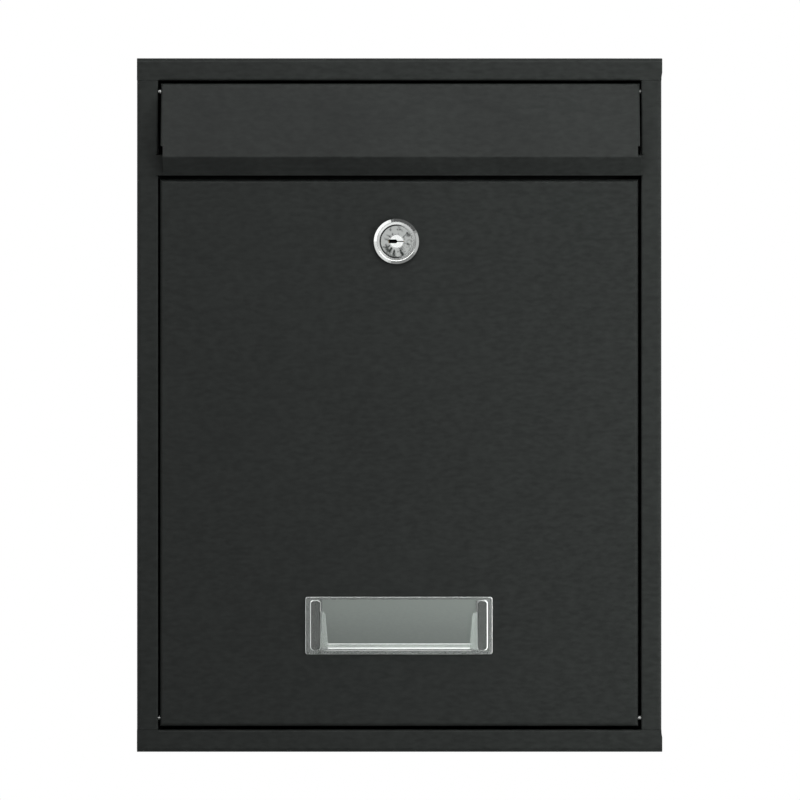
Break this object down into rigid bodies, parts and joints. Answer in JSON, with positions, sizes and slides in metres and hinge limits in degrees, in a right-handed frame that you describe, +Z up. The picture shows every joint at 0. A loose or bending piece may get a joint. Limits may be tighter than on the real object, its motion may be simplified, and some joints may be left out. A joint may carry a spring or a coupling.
{
  "type": "wall mounted mailbox",
  "caption": "Black sheet steel wall mailbox with a top-hinged inlet flap, a drop-down front door with a cam lock, and a clear name holder.",
  "frame": {"origin": "centre of the back face, where it rests on the wall", "axes": "+Z up, +Y into the wall, so the front faces -Y; +X to the right as seen from the front"},
  "size_m": [0.265, 0.1189, 0.35],
  "materials": {
    "painted_steel": "black powder coat over fine horizontal brushing, satin",
    "nickel": "bright nickel plate on die-cast zinc",
    "zinc": "zinc-plated steel, satin",
    "brass": "stamped, plain",
    "spring_steel": "plain spring steel",
    "clear_plastic": "clear moulded, polished",
    "card": "plain grey blank card",
    "rubber": "black, matt"
  },
  "bodies": {
    "cabinet": {"wrap_shell": "painted_steel", "side_panel_right": "painted_steel", "side_panel_left": "painted_steel", "cross_rail": "painted_steel", "door_pivot_right": "zinc", "door_pivot_left": "zinc", "flap_pivot_right": "zinc", "flap_pivot_left": "zinc", "door_bumper_right": "rubber", "door_bumper_left": "rubber", "flap_bumper_right": "rubber", "flap_bumper_left": "rubber"},
    "door": {"door_panel": "painted_steel", "name_holder": "clear_plastic", "push_nut_right": "spring_steel", "push_nut_left": "spring_steel", "lock_housing": "nickel", "lock_washer": "zinc", "lock_nut": "nickel"},
    "lock_core": {"lock_plug": "nickel", "cam_stop_plate": "zinc", "lock_cam": "zinc", "cam_washer": "zinc", "cam_screw": "zinc", "wafer_1": "brass", "wafer_2": "brass", "wafer_3": "brass", "wafer_4": "brass", "wafer_5": "brass", "wafer_spring_1": "spring_steel", "wafer_spring_2": "spring_steel", "wafer_spring_3": "spring_steel", "wafer_spring_4": "spring_steel", "wafer_spring_5": "spring_steel"},
    "card": {"name_card": "card"},
    "flap": {"inlet_flap": "painted_steel"}
  },
  "joints": [
    {"name": "flap_hinge", "type": "hinge", "parent": "cabinet", "child": "flap", "pos_m": [0, -0.1062, 0.1583], "axis": [-1, 0, 0], "range_deg": [0, 80]},
    {"name": "door_hinge", "type": "hinge", "parent": "cabinet", "child": "door", "pos_m": [0, -0.1058, -0.1579], "axis": [1, 0, 0], "range_deg": [0, 105]},
    {"name": "lock_turn", "type": "hinge", "parent": "door", "child": "lock_core", "pos_m": [-0.0016, -0.11, 0.0825], "axis": [0, -1, 0], "range_deg": [0, 90]},
    {"name": "card_slide", "type": "slide", "parent": "door", "child": "card", "axis": [0, 0, 1], "range_m": [0, 0.026]}
  ]
}
